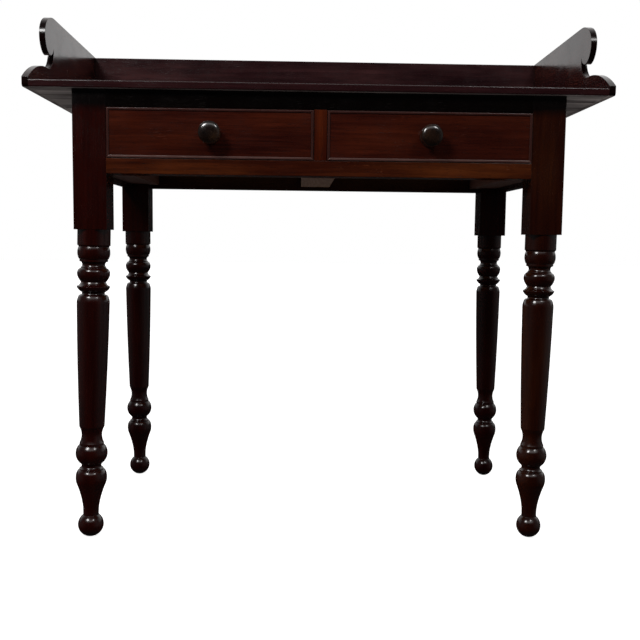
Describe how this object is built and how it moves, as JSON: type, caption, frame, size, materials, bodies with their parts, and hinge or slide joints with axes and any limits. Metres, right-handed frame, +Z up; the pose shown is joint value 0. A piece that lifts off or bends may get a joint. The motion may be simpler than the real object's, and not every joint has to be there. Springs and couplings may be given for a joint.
{
  "type": "two-drawer sewing desk",
  "caption": "Small writing or sewing desk on turned legs, with two shallow drawers side by side and a scrolled gallery round the back and ends of its top.",
  "frame": {"origin": "on the floor, under the middle of the desk's overall box (gallery and knobs counted)", "axes": "+X along the desk to the right as seen from its front, +Y from the drawer fronts to the gallery back, +Z up"},
  "size_m": [0.9204, 0.476, 0.858],
  "materials": {
    "dark_board": "dark stained mahogany, thin satin shellac",
    "dark_turned": "dark stained mahogany, turned, glossier shellac",
    "drawer_face": "red-brown mahogany, satin shellac, worn on the bead",
    "front_rail_wood": "red-brown mahogany, satin shellac",
    "drawer_pine": "unfinished pine, honey-coloured with age",
    "frame_pine": "unfinished pine, greyed with age",
    "stop_wood": "unfinished, pinkish, planed",
    "iron": "dark oxidised iron"
  },
  "bodies": {
    "desk": {"back_apron": "dark_board", "drawer_divider": "front_rail_wood", "drawer_stops": "stop_wood", "front_rail_lower": "front_rail_wood", "front_rail_upper": "front_rail_wood", "gallery_back": "dark_board", "gallery_left": "dark_board", "gallery_nails": "iron", "gallery_right": "dark_board", "glue_blocks": "frame_pine", "guide_centre": "frame_pine", "guide_left": "frame_pine", "guide_right": "frame_pine", "kicker_centre": "frame_pine", "kicker_left": "frame_pine", "kicker_right": "frame_pine", "leg_front_left": "dark_turned", "leg_front_right": "dark_turned", "leg_rear_left": "dark_turned", "leg_rear_right": "dark_turned", "runner_centre": "frame_pine", "runner_left": "frame_pine", "runner_right": "frame_pine", "side_apron_left": "dark_board", "side_apron_right": "dark_board", "top_board_front": "dark_board", "top_board_rear": "dark_board", "top_screws": "iron"},
    "drawer_left": {"drawer_left_back": "drawer_pine", "drawer_left_bead_bottom": "drawer_face", "drawer_left_bead_left": "drawer_face", "drawer_left_bead_right": "drawer_face", "drawer_left_bead_top": "drawer_face", "drawer_left_bottom_front": "drawer_pine", "drawer_left_bottom_nails": "iron", "drawer_left_bottom_rear": "drawer_pine", "drawer_left_front": "drawer_face", "drawer_left_knob": "dark_turned", "drawer_left_side_left": "drawer_pine", "drawer_left_side_right": "drawer_pine"},
    "drawer_right": {"drawer_right_back": "drawer_pine", "drawer_right_bead_bottom": "drawer_face", "drawer_right_bead_left": "drawer_face", "drawer_right_bead_right": "drawer_face", "drawer_right_bead_top": "drawer_face", "drawer_right_bottom_front": "drawer_pine", "drawer_right_bottom_nails": "iron", "drawer_right_bottom_rear": "drawer_pine", "drawer_right_front": "drawer_face", "drawer_right_knob": "dark_turned", "drawer_right_side_left": "drawer_pine", "drawer_right_side_right": "drawer_pine"}
  },
  "joints": [
    {"name": "drawer_left_slide", "type": "slide", "parent": "desk", "child": "drawer_left", "axis": [0, -1, 0], "range_m": [0, 0.35]},
    {"name": "drawer_right_slide", "type": "slide", "parent": "desk", "child": "drawer_right", "axis": [0, -1, 0], "range_m": [0, 0.35]}
  ]
}
